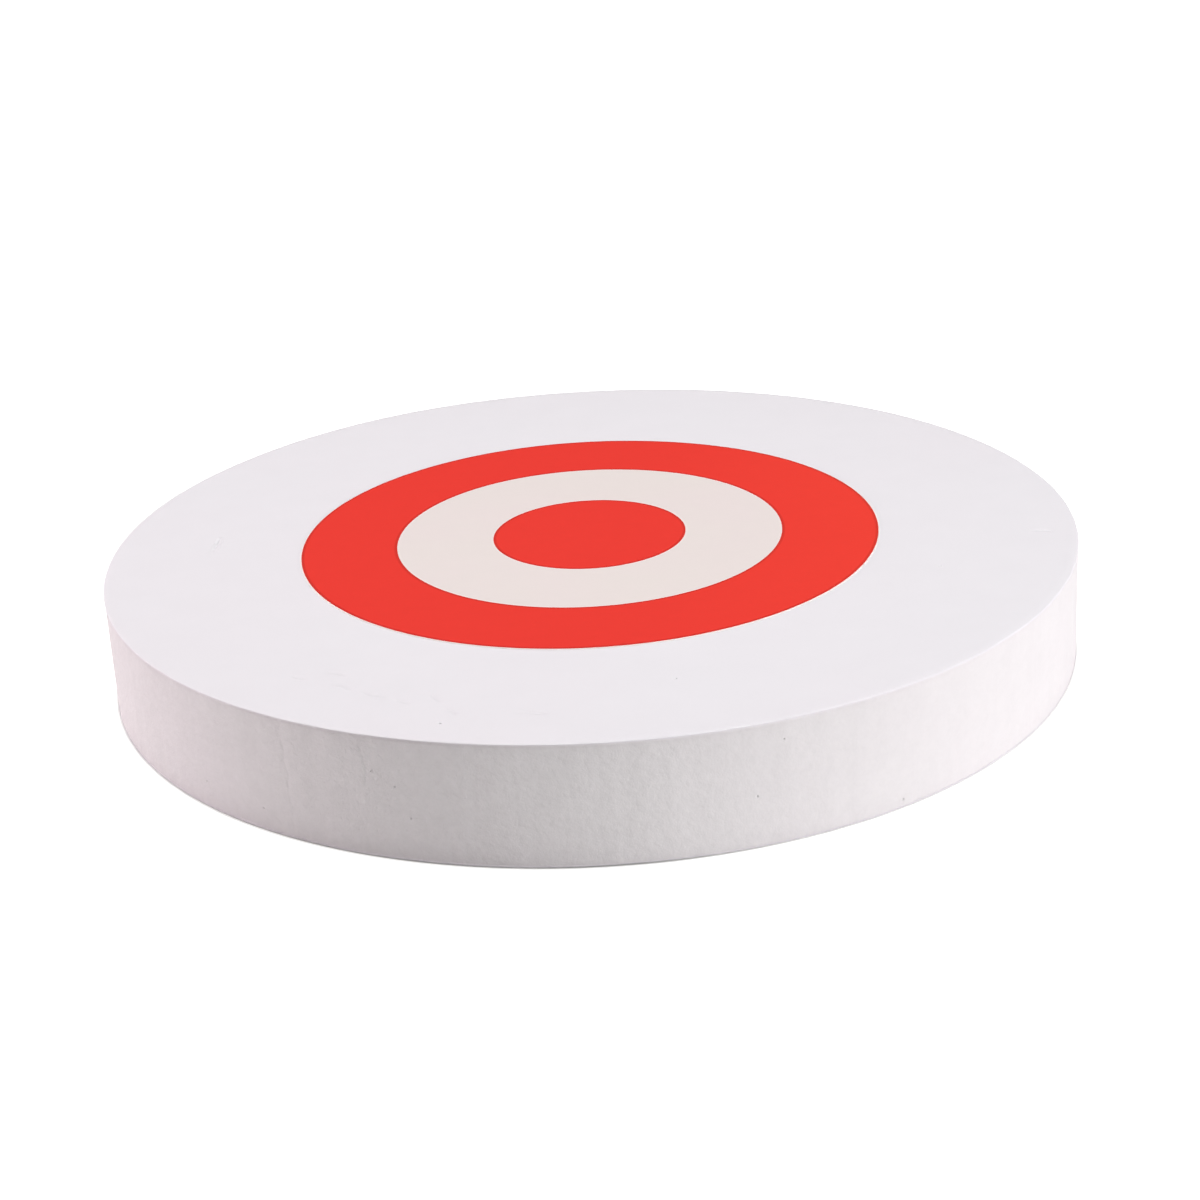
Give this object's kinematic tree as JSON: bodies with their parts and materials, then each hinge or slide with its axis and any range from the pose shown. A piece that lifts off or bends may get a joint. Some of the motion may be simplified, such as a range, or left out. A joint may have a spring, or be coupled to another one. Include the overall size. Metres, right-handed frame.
{
  "type": "archery target boss",
  "caption": "Round white foam archery target: a flat slab with smooth skins, a cut edge, and a printed label with a red outer ring, a cream ring and a red bullseye on its face.",
  "frame": {"origin": "centre of the back face, which the target lies or hangs on", "axes": "+Z square to the faces, out of the printed front; X and Y lie in the back face, and any direction in it is alike"},
  "size_m": [0.25, 0.25, 0.0302],
  "materials": {
    "cut_foam": "matte",
    "foam_skin": "matte",
    "dry_glue": "matte",
    "cream_film": "matte",
    "red_ink": "matte"
  },
  "bodies": {
    "root": {"foam_core": "cut_foam", "front_skin": "foam_skin", "back_skin": "foam_skin", "label_adhesive": "dry_glue", "label_film": "cream_film", "red_ring_print": "red_ink", "red_bullseye_print": "red_ink"}
  },
  "joints": []
}
